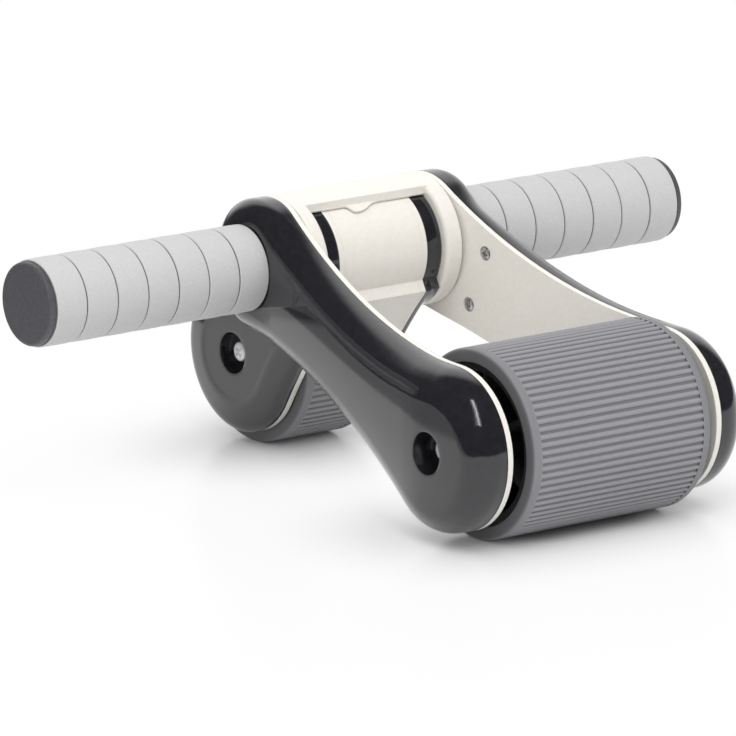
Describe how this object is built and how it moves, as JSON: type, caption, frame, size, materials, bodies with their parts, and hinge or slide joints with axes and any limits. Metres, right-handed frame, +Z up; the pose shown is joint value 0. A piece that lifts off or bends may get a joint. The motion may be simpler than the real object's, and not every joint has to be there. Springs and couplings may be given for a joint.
{
  "type": "ab wheel roller",
  "caption": "Folding abdominal roller with a padded handlebar, a wide front fork round a long ribbed roller and a narrow rear fork that swings forward between the arms.",
  "frame": {"origin": "on the floor, midway between the two axles and between the two grips", "axes": "+X along the handlebar to the right, -Y towards the long front roller, +Z up"},
  "size_m": [0.3608, 0.2894, 0.1261],
  "materials": {
    "white_shell": "smooth warm white moulding",
    "black_cover": "high gloss black",
    "roller_core": "matt black moulding",
    "tread_rubber": "matt grey ribbed rubber",
    "grip_foam": "light grey closed-cell foam",
    "cap_plastic": "satin dark grey",
    "bar_steel": "bright drawn steel",
    "bolt_steel": "bright plated"
  },
  "bodies": {
    "frame": {"front_plate_left": "white_shell", "front_plate_right": "white_shell", "front_cover_left": "black_cover", "front_cover_right": "black_cover", "cover_screws_left": "bolt_steel", "cover_screws_right": "bolt_steel", "hub_shell": "white_shell", "handlebar_tube": "bar_steel", "grip_left": "grip_foam", "grip_right": "grip_foam", "end_cap_left": "cap_plastic", "end_cap_right": "cap_plastic", "front_axle": "bar_steel", "front_axle_bolts": "bolt_steel", "front_spacers": "bar_steel"},
    "front_roller": {"front_tread": "tread_rubber", "front_core": "roller_core", "front_bearings": "bar_steel"},
    "rear_fork": {"rear_barrel": "white_shell", "rear_plate_left": "white_shell", "rear_plate_right": "white_shell", "rear_cover_left": "black_cover", "rear_cover_right": "black_cover", "rear_axle": "bar_steel", "rear_axle_bolts": "bolt_steel", "rear_spacers": "bar_steel"},
    "rear_roller": {"rear_tread": "tread_rubber", "rear_core": "roller_core", "rear_bearings": "bar_steel"}
  },
  "joints": [
    {"name": "front_roller_spin", "type": "hinge", "parent": "frame", "child": "front_roller", "pos_m": [0, -0.10168, 0.043], "axis": [1, 0, 0], "continuous": true},
    {"name": "rear_fold", "type": "hinge", "parent": "frame", "child": "rear_fork", "pos_m": [0, 0.05532, 0.09558], "axis": [-1, 0, 0], "range_deg": [0, 84]},
    {"name": "rear_roller_spin", "type": "hinge", "parent": "rear_fork", "child": "rear_roller", "pos_m": [0, 0.10168, 0.043], "axis": [1, 0, 0], "continuous": true}
  ]
}
